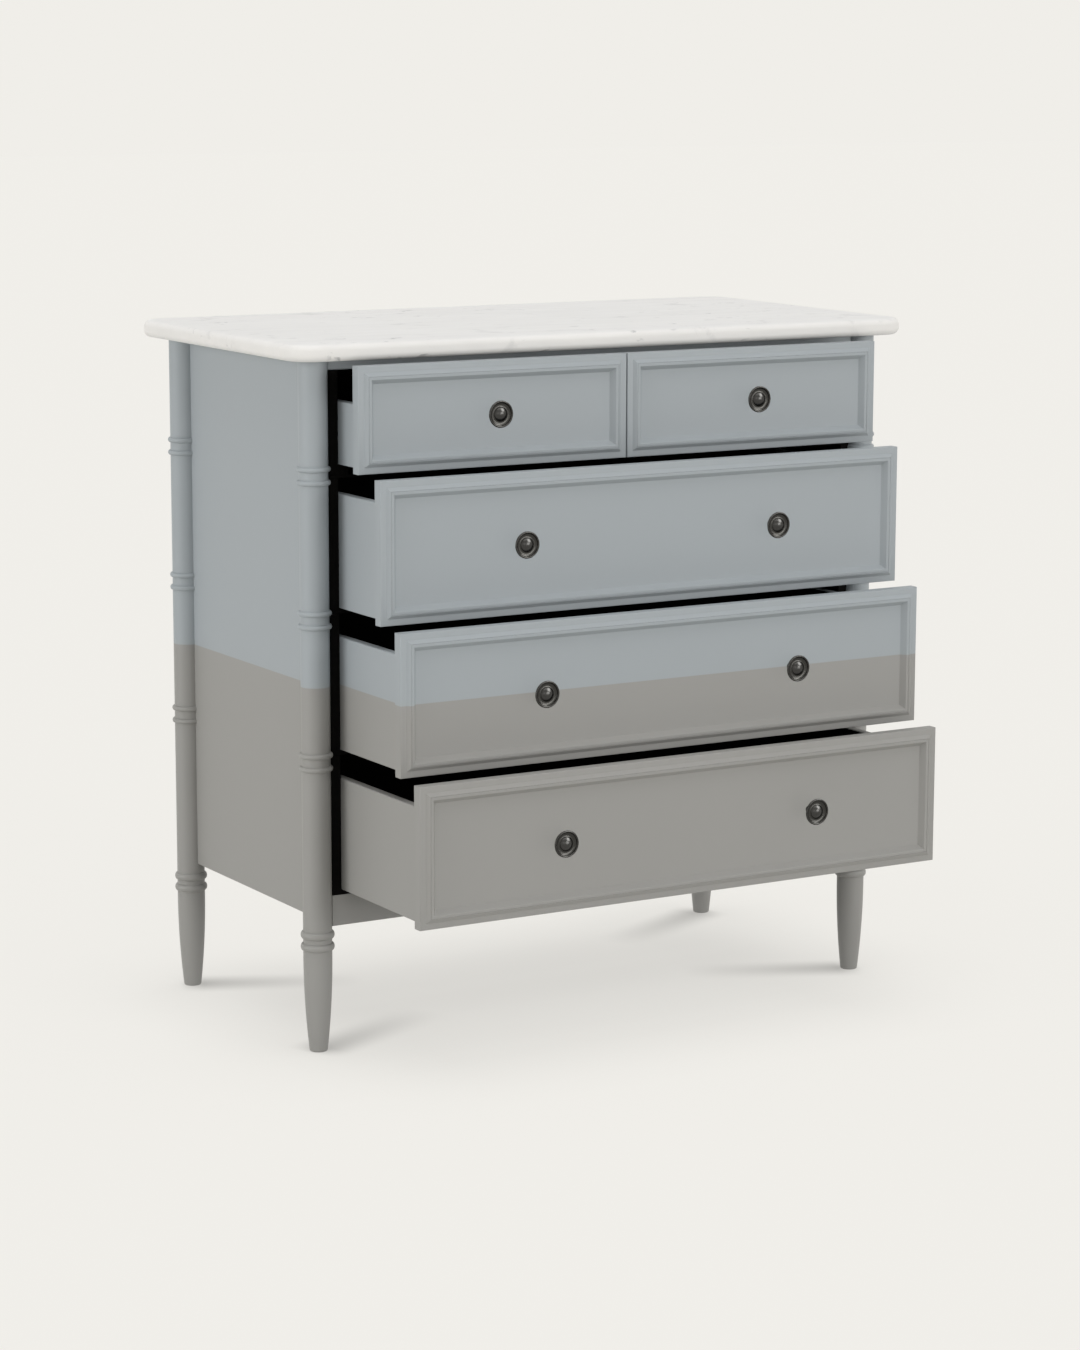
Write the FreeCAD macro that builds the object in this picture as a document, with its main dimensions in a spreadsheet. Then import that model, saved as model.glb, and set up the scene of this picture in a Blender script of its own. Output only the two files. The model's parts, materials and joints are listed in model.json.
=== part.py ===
import FreeCAD, Part
import os
import re
import Sketcher

# A marble-topped chest of five drawers on four turned posts, in millimetres.
# X runs left to right, Y from front to back and Z up from the floor.
# The drawers stand open as in the photograph; every one slides along Y.

DRIVING = {
    # whole chest and stone top
    "total_height": 891.4,
    "top_width": 906,
    "top_depth": 470,
    "top_thickness": 21.4,
    "top_corner_radius": 37,
    "top_edge_flat": 7,
    "side_overhang": 46,
    "end_overhang": 48.5,
    # turned posts: shaft, bead pairs, bowed leg
    "post_diameter": 36.4,
    "bead_rise": 3.1,
    "leg_bead_height": 9.5,
    "leg_bead_flat": 4.2,
    "leg_bead_pitch": 15.2,
    "shaft_bead_height": 6.8,
    "shaft_bead_flat": 2.6,
    "shaft_bead_pitch": 16.6,
    "leg_ring_drop": 16,
    "ring_drop": 6.4,
    "foot_diameter": 23,
    "foot_edge": 2,
    "leg_bow_drop": 21,
    "leg_knee_share": 0.75,
    # carcass boards
    "leg_height": 159,
    "panel_lift": 10,
    "panel_thickness": 17,
    "panel_setback": 1.7,
    "panel_seat": 6,
    "back_thickness": 9,
    "back_setback": 15,
    "floor_thickness": 6,
    "floor_lift": 6,
    "tongue": 6,
    "rail_thickness": 18,
    "rail_lead": 5,
    "rail_edge": 1.5,
    "tenon_shoulder": 1,
    "tenon_thickness": 8,
    "tenon_length": 10.5,
    "top_rail_height": 14,
    "bottom_rail_height": 39.5,
    "dust_drop": 6.9,
    "dust_thickness": 4,
    # runners
    "ledge_width": 14,
    "ledge_height": 6.5,
    "running_clearance": 0.3,
    # drawer fronts
    "rail_gap": 0.5,
    "top_gap": 4.6,
    "post_gap": 7.6,
    "front_gap": 1.8,
    "seam_gap": 1.5,
    "small_front_height": 131.5,
    "front_thickness": 14,
    "front_edge": 1.2,
    "moulding_border": 8,
    "moulding_width": 14.5,
    "moulding_height": 3.5,
    "outer_slope": 4.5,
    "inner_slope": 5.5,
    "moulding_root": 1,
    "panel_recess": 4,
    # drawer boxes
    "back_room": 10,
    "box_inset": 6.2,
    "box_lift": 6.2,
    "wide_box_drop": 28.2,
    "small_box_drop": 47.7,
    "side_thickness": 12,
    "side_edge": 1.2,
    "drawer_floor": 5,
    "groove_depth": 6,
    "groove_lift": 8,
    # how far each row stands open
    "small_open": 50.6,
    "upper_open": 106.1,
    "middle_open": 155.2,
    "lower_open": 202.4,
    # knobs
    "knob_spacing": 371,
    "knob_diameter": 34,
    "knob_projection": 21.6,
    "knob_neck_diameter": 12,
    "knob_neck_length": 8,
    "knob_rim_height": 3.4,
    "knob_boss_diameter": 16.8,
    "knob_boss_flat": 9,
    "knob_boss_height": 2.8,
    # waste that a cut runs past the wood
    "overrun": 12,
}

DERIVED = {
    "post_top": "total_height - top_thickness",
    "top_edge_radius": "(top_thickness - top_edge_flat) / 2",
    "post_span_x": "top_width - 2 * side_overhang",
    "post_span_y": "top_depth - 2 * end_overhang",
    "post_radius": "post_diameter / 2",
    "bead_radius": "post_radius + bead_rise",
    "foot_radius": "foot_diameter / 2",
    "leg_ring_height": "leg_height - leg_ring_drop",
    "leg_bow_height": "leg_ring_height - leg_bow_drop",
    "leg_knee_height": "(foot_edge + leg_bow_height) / 2",
    "leg_knee_radius": "foot_radius + leg_knee_share * (post_radius - foot_radius)",
    "panel_bottom": "leg_height + panel_lift",
    "panel_inner": "panel_setback + panel_thickness",
    "panel_length": "post_span_y - 2 * panel_seat",
    "panel_height": "post_top - panel_bottom",
    "inner_half": "post_span_x / 2 - panel_inner",
    "floor_height": "panel_bottom + floor_lift",
    "rail_plane": "post_span_y / 2 + rail_lead",
    "tenon_front": "tenon_shoulder - rail_lead",
    "back_front": "post_span_y / 2 - back_setback - back_thickness",
    "runner_length": "rail_plane + back_front",
    "top_rail_low": "post_top - top_rail_height",
    "bottom_rail_high": "leg_height + bottom_rail_height",
    # drawer fronts share out the height between the bottom rail and the stone
    "front_bottom": "bottom_rail_high + rail_gap",
    "small_low": "post_top - top_gap - small_front_height",
    "row_pitch": "(small_low - front_bottom) / 3",
    "wide_front_height": "row_pitch - front_gap",
    "lower_low": "front_bottom",
    "middle_low": "front_bottom + row_pitch",
    "upper_low": "front_bottom + 2 * row_pitch",
    "ring_height": "middle_low - ring_drop",
    "dust_top": "small_low - dust_drop",
    "dust_low": "dust_top - dust_thickness",
    "front_width": "post_span_x - post_diameter - 2 * post_gap",
    "small_width": "(front_width - seam_gap) / 2",
    "panel_inset": "moulding_border + moulding_width",
    "pocket_inset": "panel_inset - inner_slope",
    "closed_face": "rail_plane + running_clearance + front_thickness",
    # drawer boxes and what carries them
    "box_half": "front_width / 2 - box_inset",
    "box_length": "runner_length - back_room",
    "wide_box_height": "wide_front_height - wide_box_drop - box_lift",
    "small_box_height": "small_front_height - small_box_drop - box_lift",
    "guide_thickness": "inner_half - box_half - running_clearance",
    "centre_guide": "seam_gap + 2 * box_inset - 2 * running_clearance",
    "ledge_top": "box_lift - running_clearance",
    # knobs
    "knob_radius": "knob_diameter / 2",
    "knob_face": "knob_projection - knob_boss_height",
    "knob_reach": "knob_projection - panel_recess",
    # the origin is the bottom centre of the chest as it stands, drawers open
    "shift": "(closed_face + lower_open + knob_reach - top_depth / 2) / 2",
}

doc = FreeCAD.newDocument("chest_of_drawers")
sheet = doc.addObject("Spreadsheet::Sheet", "dims")
cells = {**{name: str(value) for name, value in DRIVING.items()},
         **{name: "=" + text for name, text in DERIVED.items()}}
for row, (name, text) in enumerate(cells.items(), start=1):
    sheet.set(f"A{row}", name)
    sheet.set(f"B{row}", text)
    sheet.setAlias(f"B{row}", name)
doc.recompute()

nodes = []


def number(text):
    """The present value of a rule written in the sheet's words."""
    return float(sheet.evalExpression(text))


def bound(text):
    """The same rule as another object has to write it."""
    return re.sub(r"[a-z][a-z_]*", lambda word: "dims." + word.group(), text)


def new_body(node):
    """An empty body that becomes one node of the chest."""
    body = doc.addObject("PartDesign::Body", node)
    body.Label = node
    nodes.append(body)
    return body


def place(body, x, y, z):
    """Put a body's own origin at a place in the chest."""
    for axis, text in zip("xyz", (x, f"{y} + shift", z)):
        body.setExpression(f"Placement.Base.{axis}", bound(text))


def new_sketch(body, role, height=None):
    """A sketch on one of the body's own planes, raised by a rule if one is given."""
    sketch = body.newObject("Sketcher::SketchObject", "sketch")
    plane = next(item for item in body.Origin.OriginFeatures if item.Role == role)
    sketch.AttachmentSupport = [(plane, "")]
    sketch.MapMode = "FlatFace"
    if height:
        sketch.setExpression("AttachmentOffset.Base.z", bound(height))
    return sketch


def hold(sketch, axis, geometry, point, text):
    """Hold a sketch point at a signed distance from the sketch's origin."""
    value = number(text)
    if abs(value) < Part.Precision.confusion():
        line = {"X": -2, "Y": -1}[axis]
        sketch.addConstraint(Sketcher.Constraint("PointOnObject", geometry, point, line))
        return
    ends = (-1, 1, geometry, point) if value > 0 else (geometry, point, -1, 1)
    index = sketch.addConstraint(Sketcher.Constraint("Distance" + axis, *ends, abs(value)))
    sketch.setExpression(f"Constraints[{index}]", bound(text if value > 0 else f"-({text})"))


def close(sketch, ends, corners):
    """Join drawn pieces end to end and hold each start at its corner."""
    for index, corner in enumerate(corners):
        before, last = ends[index - 1][0], ends[index - 1][2]
        geometry, start = ends[index][0], ends[index][1]
        sketch.addConstraint(Sketcher.Constraint("Coincident", before, last, geometry, start))
        hold(sketch, "X", geometry, start, corner[0])
        hold(sketch, "Y", geometry, start, corner[1])


def outline(sketch, corners):
    """Draw a closed outline of straight lines between corners given by rules."""
    spots = [FreeCAD.Vector(number(x), number(y), 0) for x, y in corners]
    lines = [Part.LineSegment(spot, spots[(index + 1) % len(spots)]) for index, spot in enumerate(spots)]
    close(sketch, [(sketch.addGeometry(line), 1, 2) for line in lines], corners)


def rectangle(sketch, left, low, right, high):
    """Draw a rectangle between four rules."""
    outline(sketch, [(left, low), (right, low), (right, high), (left, high)])


def in_order(first, second):
    """Order two pairs of rules as left, low, right, high."""
    left, right = sorted(first, key=number)
    low, high = sorted(second, key=number)
    return left, low, right, high


def pad(body, sketch, length, turned=False):
    """Push a sketch out along its plane's normal, or the other way if turned."""
    feature = body.newObject("PartDesign::Pad", "pad")
    feature.Profile = sketch
    feature.setExpression("Length", bound(length))
    feature.Reversed = turned
    return feature


def cut(body, sketch, length, turned=False):
    """Cut a sketch's outline out of a body against its plane's normal, or along it if turned."""
    feature = body.newObject("PartDesign::Pocket", "cut")
    feature.Profile = sketch
    feature.setExpression("Length", bound(length))
    feature.Reversed = turned
    return feature


def turn(body, sketch):
    """Turn a sketch about its own upright axis, as on a lathe."""
    feature = body.newObject("PartDesign::Revolution", "turning")
    feature.Profile = sketch
    feature.ReferenceAxis = (sketch, ["V_Axis"])
    return feature


def repeat(body, feature, axis, count, length):
    """Repeat a feature along one of the body's axes."""
    copies = body.newObject("PartDesign::LinearPattern", "row")
    copies.Originals = [feature]
    line = next(item for item in body.Origin.OriginFeatures if item.Role == axis)
    copies.Direction = (line, [""])
    copies.setExpression("Length", bound(length))
    copies.Occurrences = count
    body.Tip = copies
    return copies


def soften(body, kind, size, chosen):
    """Round (Fillet) or bevel (Chamfer) the edges of a body whose bounding boxes pass a test."""
    doc.recompute()
    base = body.Tip
    edges = enumerate(base.Shape.Edges, start=1)
    feature = body.newObject(f"PartDesign::{kind}", kind)
    feature.Base = (base, [f"Edge{index}" for index, edge in edges if chosen(edge.BoundBox)])
    feature.setExpression({"Fillet": "Radius", "Chamfer": "Size"}[kind], bound(size))
    return feature


def near(first, second):
    """Whether two lengths are the same for the modeller."""
    return abs(first - second) < Part.Precision.approximation()


def board(node, size, spot):
    """A plain board, cut to three sizes and put in its place."""
    body = new_body(node)
    plan = new_sketch(body, "XY_Plane")
    rectangle(plan, "0", "0", size[0], size[1])
    pad(body, plan, size[2])
    place(body, *spot)
    return body


def stone_top():
    """Stone slab with rounded corners and softly rounded edges."""
    body = board("marble_top", ("top_width", "top_depth", "top_thickness"),
                 ("-top_width / 2", "-top_depth / 2", "post_top"))
    upright = number("top_thickness")
    soften(body, "Fillet", "top_corner_radius", lambda box: near(box.ZLength, upright))
    soften(body, "Fillet", "top_edge_radius", lambda box: near(box.ZLength, 0))


def bead_pair(body, kind, height):
    """Two turned beads with bevelled shoulders, one above the other around a height."""
    beads = new_sketch(body, "XZ_Plane")
    half, flat, step = (f"{kind}_bead_{size} / 2" for size in ("height", "flat", "pitch"))
    for middle in (f"{height} - {step}", f"{height} + {step}"):
        low, high = f"{middle} - {half}", f"{middle} + {half}"
        outline(beads, [("0", low), ("post_radius", low), ("bead_radius", f"{middle} - {flat}"),
                        ("bead_radius", f"{middle} + {flat}"), ("post_radius", high), ("0", high)])
    return turn(body, beads)


def post(node, side, end):
    """Turned post: bowed leg, shaft and bead pairs, rebated for the side panel and mortised for the rails."""
    body = new_body(node)
    shaft = new_sketch(body, "XZ_Plane")
    outline(shaft, [("0", "0"), ("foot_radius - foot_edge", "0"), ("foot_radius", "foot_edge"),
                    ("leg_knee_radius", "leg_knee_height"), ("post_radius", "leg_bow_height"),
                    ("post_radius", "post_top"), ("0", "post_top")])
    turn(body, shaft)
    bead_pair(body, "leg", "leg_ring_height")
    repeat(body, bead_pair(body, "shaft", "ring_height"), "Z_Axis", 3, "2 * row_pitch")
    # the panel's edge sits in a rebate on the inner, middle side of the post
    inwards = f"{side} * (panel_inner + overrun)"
    middle = f"{end} * (post_radius + overrun)"
    rebate = new_sketch(body, "XY_Plane", "panel_bottom")
    rectangle(rebate, *in_order((f"{side} * panel_setback", inwards), (f"{end} * panel_seat", middle)))
    cut(body, rebate, "panel_height", turned=True)
    if end > 0:
        front_joints(body, side, inwards, middle)
    place(body, f"{-side} * post_span_x / 2", f"{-end} * post_span_y / 2", "0")


def front_joints(body, side, inwards, middle):
    """In a front post, plane the beads flush for the runners and cut mortises for the two rails."""
    flush = new_sketch(body, "XY_Plane", "panel_bottom")
    rectangle(flush, *in_order((f"{side} * panel_inner", inwards), ("-rail_lead", middle)))
    cut(body, flush, "panel_height", turned=True)
    across = (f"{side} * (panel_inner - tenon_length)", inwards)
    for low, high in (("leg_height", "bottom_rail_high"), ("top_rail_low", "post_top")):
        mortise = new_sketch(body, "XY_Plane", low)
        rectangle(mortise, *in_order(across, ("tenon_front", "tenon_front + tenon_thickness")))
        cut(body, mortise, f"{high} - {low}", turned=True)


def side_panel(node, side):
    """Side board with grooves for the back and the floor on its inner face."""
    left = "-inner_half - panel_thickness" if side < 0 else "inner_half"
    body = board(node, ("panel_thickness", "panel_length", "panel_height"),
                 (left, "panel_seat - post_span_y / 2", "panel_bottom"))
    groove = ("panel_thickness - tongue", "panel_thickness") if side < 0 else ("0", "tongue")
    upright = new_sketch(body, "XY_Plane")
    start = "back_front + post_span_y / 2 - panel_seat"
    rectangle(upright, groove[0], start, groove[1], f"{start} + back_thickness")
    cut(body, upright, "panel_height", turned=True)
    level = new_sketch(body, "XZ_Plane")
    rectangle(level, groove[0], "floor_lift", groove[1], "floor_lift + floor_thickness")
    cut(body, level, start)


def rail(node, low, tall):
    """Cross rail with a tenon at each end and a bevel along its lower front edge."""
    body = new_body(node)
    plan = new_sketch(body, "XY_Plane")
    ends = ("0", "tenon_length", "tenon_length + 2 * inner_half", "2 * tenon_length + 2 * inner_half")
    deep = ("0", "tenon_shoulder", "tenon_shoulder + tenon_thickness", "rail_thickness")
    outline(plan, [(ends[0], deep[1]), (ends[1], deep[1]), (ends[1], deep[0]), (ends[2], deep[0]),
                   (ends[2], deep[1]), (ends[3], deep[1]), (ends[3], deep[2]), (ends[2], deep[2]),
                   (ends[2], deep[3]), (ends[1], deep[3]), (ends[1], deep[2]), (ends[0], deep[2])])
    pad(body, plan, tall)
    soften(body, "Chamfer", "rail_edge", lambda box: near(box.YMax, 0) and near(box.ZMax, 0))
    place(body, "-inner_half - tenon_length", "-rail_plane", low)


def runner(node, side, name, low, high):
    """L-shaped runner: a guide against the side panel with a ledge that carries the drawer side."""
    body = new_body(node)
    section = new_sketch(body, "XZ_Plane")
    ledge = f"{name}_low + ledge_top - ({low})"
    tall = f"({high}) - ({low})"
    wide = "guide_thickness + ledge_width"
    if side < 0:
        outline(section, [("0", "0"), (wide, "0"), (wide, ledge), ("guide_thickness", ledge),
                          ("guide_thickness", tall), ("0", tall)])
    else:
        outline(section, [("0", "0"), (wide, "0"), (wide, tall), ("ledge_width", tall),
                          ("ledge_width", ledge), ("0", ledge)])
    pad(body, section, "runner_length", turned=True)
    place(body, "-inner_half" if side < 0 else f"inner_half - ({wide})", "-rail_plane", low)


def centre_runner(low, high):
    """Upright guide between the small drawers with a ledge on each side."""
    body = new_body("runner_small_centre")
    section = new_sketch(body, "XZ_Plane")
    ledge = f"small_low + ledge_top - ({low})"
    tall = f"({high}) - ({low})"
    steps = ("0", "ledge_width", "ledge_width + centre_guide", "2 * ledge_width + centre_guide")
    outline(section, [(steps[0], "0"), (steps[3], "0"), (steps[3], ledge), (steps[2], ledge),
                      (steps[2], tall), (steps[1], tall), (steps[1], ledge), (steps[0], ledge)])
    pad(body, section, "runner_length", turned=True)
    place(body, "-ledge_width - centre_guide / 2", "-rail_plane", low)


def carcass():
    """Everything that stays still: top, posts, panels, rails, dust board and runners."""
    stone_top()
    for end_name, end in (("front", 1), ("back", -1)):
        for side_name, side in (("left", 1), ("right", -1)):
            post(f"post_{end_name}_{side_name}", side, end)
    side_panel("side_panel_left", -1)
    side_panel("side_panel_right", 1)
    between = "2 * (inner_half + tongue)"
    board("back_panel", (between, "back_thickness", "panel_height"),
          ("-inner_half - tongue", "back_front", "panel_bottom"))
    board("bottom_panel", (between, "runner_length - rail_thickness", "floor_thickness"),
          ("-inner_half - tongue", "rail_thickness - rail_plane", "floor_height"))
    rail("top_rail", "top_rail_low", "top_rail_height")
    rail("bottom_rail", "leg_height", "bottom_rail_height")
    board("dust_board", ("2 * inner_half", "runner_length", "dust_thickness"),
          ("-inner_half", "-rail_plane", "dust_low"))
    middle_ledge = "middle_low + ledge_top - ledge_height"
    upper_ledge = "upper_low + ledge_top - ledge_height"
    rows = (("lower", "bottom_rail_high", middle_ledge), ("middle", middle_ledge, upper_ledge),
            ("upper", upper_ledge, "dust_low"), ("small", "dust_top", "top_rail_low"))
    for name, low, high in rows:
        runner(f"runner_{name}_left", -1, name, low, high)
        runner(f"runner_{name}_right", 1, name, low, high)
    centre_runner("dust_top", "top_rail_low")


def drawer_front(node, wide, tall, spot):
    """Front board with a sloped moulding mitred around its sunk panel and a groove for the drawer floor."""
    body = new_body(node)
    face = new_sketch(body, "XZ_Plane")
    rectangle(face, "0", "0", wide, tall)
    pad(body, face, "front_thickness", turned=True)
    soften(body, "Chamfer", "front_edge", lambda box: near(box.YMax, 0))
    panel = new_sketch(body, "XZ_Plane")
    rectangle(panel, "pocket_inset", "pocket_inset", f"{wide} - pocket_inset", f"{tall} - pocket_inset")
    cut(body, panel, "panel_recess")
    moulding(body, wide, tall)
    groove = new_sketch(body, "XY_Plane", "box_lift + groove_lift")
    inside = "box_inset + side_thickness - groove_depth"
    rectangle(groove, inside, "front_thickness - groove_depth", f"{wide} - ({inside})", "front_thickness")
    cut(body, groove, "drawer_floor", turned=True)
    place(body, *spot)


def moulding(body, wide, tall):
    """Run a moulding around a front: a slope up to a flat crown and a longer slope down to the panel."""
    middle = "moulding_border + moulding_width / 2"
    right, top = f"{wide} - ({middle})", f"{tall} - ({middle})"
    path = new_sketch(body, "XZ_Plane")
    outline(path, [(middle, f"{tall} / 2"), (middle, top), (right, top), (right, middle), (middle, middle)])
    section = new_sketch(body, "XY_Plane", f"{tall} / 2")
    root = "panel_recess + moulding_root"
    outline(section, [("moulding_border", "0"), ("moulding_border + outer_slope", "-moulding_height"),
                      ("pocket_inset", "-moulding_height"), ("panel_inset", "panel_recess"),
                      ("panel_inset", root), ("moulding_border", root)])
    run = body.newObject("PartDesign::AdditivePipe", "moulding")
    run.Profile = section
    run.Spine = (path, [f"Edge{index + 1}" for index in range(path.GeometryCount)])
    run.Transition = "Right corner"


def drawer_side(node, tall, hand, spot):
    """Drawer side with a groove for the floor on its inner face and bevelled top edges."""
    body = board(node, ("side_thickness", "box_length", tall), spot)
    top = number(tall)
    soften(body, "Chamfer", "side_edge", lambda box: near(box.ZMin, top) and near(box.XLength, 0))
    groove = new_sketch(body, "XZ_Plane")
    left, right = ("side_thickness - groove_depth", "side_thickness") if hand < 0 else ("0", "groove_depth")
    rectangle(groove, left, "groove_lift", right, "groove_lift + drawer_floor")
    cut(body, groove, "box_length")


def knobs(node, count, spot):
    """Turned knobs in a row: a neck that flares to a disc with a raised, bevelled boss."""
    body = new_body(node)
    profile = new_sketch(body, "XY_Plane")
    neck, boss = "knob_neck_diameter / 2", "knob_boss_diameter / 2"
    outline(profile, [("0", "0"), (neck, "0"), (neck, "-knob_neck_length"),
                      ("knob_radius", "knob_rim_height - knob_face"), ("knob_radius", "-knob_face"),
                      (boss, "-knob_face"), ("knob_boss_flat / 2", "-knob_projection"),
                      ("0", "-knob_projection")])
    knob = turn(body, profile)
    if count > 1:
        repeat(body, knob, "X_Axis", count, "knob_spacing")
    place(body, *spot)


def drawer(name, row, left, wide, size, knob_count):
    """One drawer: front, two sides, back, floor and knobs, standing open by its row's amount."""
    tall, box, low = f"{size}_front_height", f"{size}_box_height", f"{row}_low"
    face = f"-closed_face - {row}_open"
    inner = f"{face} + front_thickness"
    base = f"{low} + box_lift"
    node = f"drawer_{name}"
    drawer_front(f"{node}_front", wide, tall, (left, face, low))
    drawer_side(f"{node}_side_left", box, -1, (f"{left} + box_inset", inner, base))
    drawer_side(f"{node}_side_right", box, 1,
                (f"{left} + {wide} - box_inset - side_thickness", inner, base))
    between = f"{left} + box_inset + side_thickness"
    room = f"{wide} - 2 * (box_inset + side_thickness)"
    above = "(groove_lift + drawer_floor)"
    board(f"{node}_back", (room, "side_thickness", f"{box} - {above}"),
          (between, f"{inner} + box_length - side_thickness", f"{base} + {above}"))
    board(f"{node}_bottom", (f"{room} + 2 * groove_depth", "box_length + groove_depth", "drawer_floor"),
          (f"{between} - groove_depth", f"{inner} - groove_depth", f"{base} + groove_lift"))
    first_knob = f"{left} + ({wide} - {knob_count - 1} * knob_spacing) / 2"
    knobs(f"{node}_knobs" if knob_count > 1 else f"{node}_knob", knob_count,
          (first_knob, f"{face} + panel_recess", f"{low} + {tall} / 2"))


def drawers():
    """Two small drawers side by side above three wide ones."""
    drawer("small_left", "small", "-front_width / 2", "small_width", "small", 1)
    drawer("small_right", "small", "seam_gap / 2", "small_width", "small", 1)
    for name in ("upper", "middle", "lower"):
        drawer(name, name, "-front_width / 2", "front_width", "wide", 2)


carcass()
drawers()
doc.recompute()

for item in doc.Objects:
    if "Invalid" in item.State or "Error" in item.State:
        raise RuntimeError(f"{item.Label} could not be made: {item.State}")
os.makedirs("parts", exist_ok=True)
for body in nodes:
    if body.Shape.isNull() or not body.Shape.isValid():
        raise RuntimeError(f"{body.Label} has no sound shape")
    body.Shape.exportStep(f"parts/{body.Label}.step")
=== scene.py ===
import json
import math

import bmesh
import bpy
from mathutils import Matrix, Vector

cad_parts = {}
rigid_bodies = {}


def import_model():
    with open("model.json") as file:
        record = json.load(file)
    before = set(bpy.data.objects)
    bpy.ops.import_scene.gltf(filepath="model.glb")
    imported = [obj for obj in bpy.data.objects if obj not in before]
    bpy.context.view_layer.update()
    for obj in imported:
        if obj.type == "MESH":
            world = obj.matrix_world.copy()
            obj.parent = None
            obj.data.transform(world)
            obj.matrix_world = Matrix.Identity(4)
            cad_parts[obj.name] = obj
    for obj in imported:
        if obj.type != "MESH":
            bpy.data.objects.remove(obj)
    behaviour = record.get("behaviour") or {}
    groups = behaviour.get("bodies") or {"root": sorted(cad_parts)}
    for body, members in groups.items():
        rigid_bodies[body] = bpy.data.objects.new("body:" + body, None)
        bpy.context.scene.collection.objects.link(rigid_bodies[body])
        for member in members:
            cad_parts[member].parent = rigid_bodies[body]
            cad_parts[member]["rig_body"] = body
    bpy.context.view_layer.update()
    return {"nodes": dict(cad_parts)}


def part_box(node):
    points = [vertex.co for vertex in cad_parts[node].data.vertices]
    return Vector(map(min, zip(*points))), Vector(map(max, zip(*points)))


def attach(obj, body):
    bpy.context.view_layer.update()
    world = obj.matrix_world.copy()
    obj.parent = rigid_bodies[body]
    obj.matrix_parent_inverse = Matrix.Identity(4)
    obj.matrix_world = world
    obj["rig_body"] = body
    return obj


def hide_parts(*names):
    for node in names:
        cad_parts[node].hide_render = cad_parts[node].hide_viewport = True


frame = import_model()

# Sizes in metres of the shapes drawn here. Places come from the frame.
POST_RADIUS = 0.0182
FOOT_RADIUS = 0.0115
FOOT_EDGE = 0.002
LEG_BOW_HEIGHT = 0.122
BEAD_RISE = 0.0031
LEG_BEAD_HEIGHT, LEG_BEAD_PITCH = 0.0095, 0.0152
SHAFT_BEAD_HEIGHT, SHAFT_BEAD_PITCH = 0.0068, 0.0166
LEG_RING_HEIGHT = 0.143
FIRST_RING_HEIGHT = 0.3709
RING_SPACING = 0.1783
RING_COUNT = 3
STONE_CORNER = 0.037
STONE_EDGE_FLAT = 0.0055
FRONT_THICKNESS = 0.014
FRONT_ROUND = 0.0012
MOULDING_BORDER = 0.008
MOULDING_WIDTH = 0.0145
MOULDING_HEIGHT = 0.0035
OUTER_SLOPE = 0.0045
INNER_SLOPE = 0.0055
MOULDING_EASE = 0.0008
QUIRK_INSET = 0.0136
QUIRK_WIDTH = 0.0008
QUIRK_DEPTH = 0.0003
PAINT_FILL = 0.0005
PANEL_RECESS = 0.004
SIDE_ROUND = 0.0005
BOARD_ROUND = 0.0008
KNOB_RADIUS = 0.017
KNOB_PROJECTION = 0.0216
KNOB_SPACING = 0.371
KNOB_BASE_RADIUS, KNOB_BASE_HEIGHT = 0.0048, 0.0012
KNOB_NECK_RADIUS, KNOB_WAIST = 0.0041, 0.0030
KNOB_FLARE_DEPTH = 0.0085
KNOB_LIP, KNOB_LIP_DROP = 0.0013, 0.0030
KNOB_COVE_RADIUS, KNOB_COVE_DEPTH = 0.0106, 0.0047
KNOB_DOME_RADIUS, KNOB_DOME_HEIGHT = 0.0086, 0.0036
KNOB_LIP_RADIUS = 0.0160
SCREW_RADIUS = 0.004
SCREW_HEIGHT = 0.0024
SCREW_RIM, SCREW_ROUND = 0.0010, 0.0012
PAINT_LINE_HEIGHT, PAINT_LINE_SOFTNESS = 0.466, 0.0004
WELD = 1e-6

# How finely round forms are cut, and the angles that tell edges and faces apart.
TURNED_STEPS = 64
SCREW_STEPS = 24
FOOT_STEPS, LEG_STEPS = 6, 24
BEAD_STEPS_AROUND, BEAD_STEPS_ACROSS = 64, 24
STONE_CORNER_STEPS, STONE_EDGE_STEPS = 10, 10
EASE_STEPS = 5
BEVEL_STEPS = 3
BEVEL_ANGLE = math.radians(40)
SMOOTH_ANGLE = math.radians(35)
FLAT_ANGLE = math.radians(1)
FACING = 0.9
RIGHTWARDS, LEFTWARDS = Vector((1, 0, 0)), Vector((-1, 0, 0))
FORWARDS, BACKWARDS = Vector((0, -1, 0)), Vector((0, 1, 0))

# Colours as linear light.
UPPER_PAINT = (0.345, 0.375, 0.392, 1)
LOWER_PAINT = (0.305, 0.300, 0.284, 1)
STONE_WHITE = (0.865, 0.858, 0.843, 1)
# the rounded edge's tone: partly a warmer tint of the stone, partly painted shade that dims the light on the
# round
STONE_EDGE_SHADE = (0.80, 0.785, 0.757, 1)
STONE_GREY = (0.25, 0.25, 0.255, 1)
BRONZE = (0.047, 0.046, 0.043, 1)
# a lighter bronze, painted on the knob's dome and outer lip as a sheen
BRONZE_SHEEN = (0.062, 0.061, 0.059, 1)
# a wood stain darkened to near-black: painted shade for the insides and gaps
SHADE_STAIN_DARK = (0.0018, 0.0017, 0.0016, 1)
SHADE_STAIN_LIGHT = (0.005, 0.0046, 0.0042, 1)
ZINC = (0.55, 0.55, 0.54)
BACKDROP = (0.871, 0.855, 0.815, 1)

# Shares and stretches: where most of a noise lies, and how strongly one effect works on another.
CLOUD_LOW, CLOUD_HIGH = 0.3, 0.7
PAINT_GRAIN_RELIEF = 0.8
FLECK_STRETCH = Vector((1.0, 2.2, 2.2))
FLECK_EDGE_GAIN = 0.02
BEDDING_GREY = 0.07
# how much of the painted sheen the knob's outer lip gets
KNOB_LIP_SHEEN = 0.6


# Helpers for nodes, and the shader groups that the finishes share.

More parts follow.
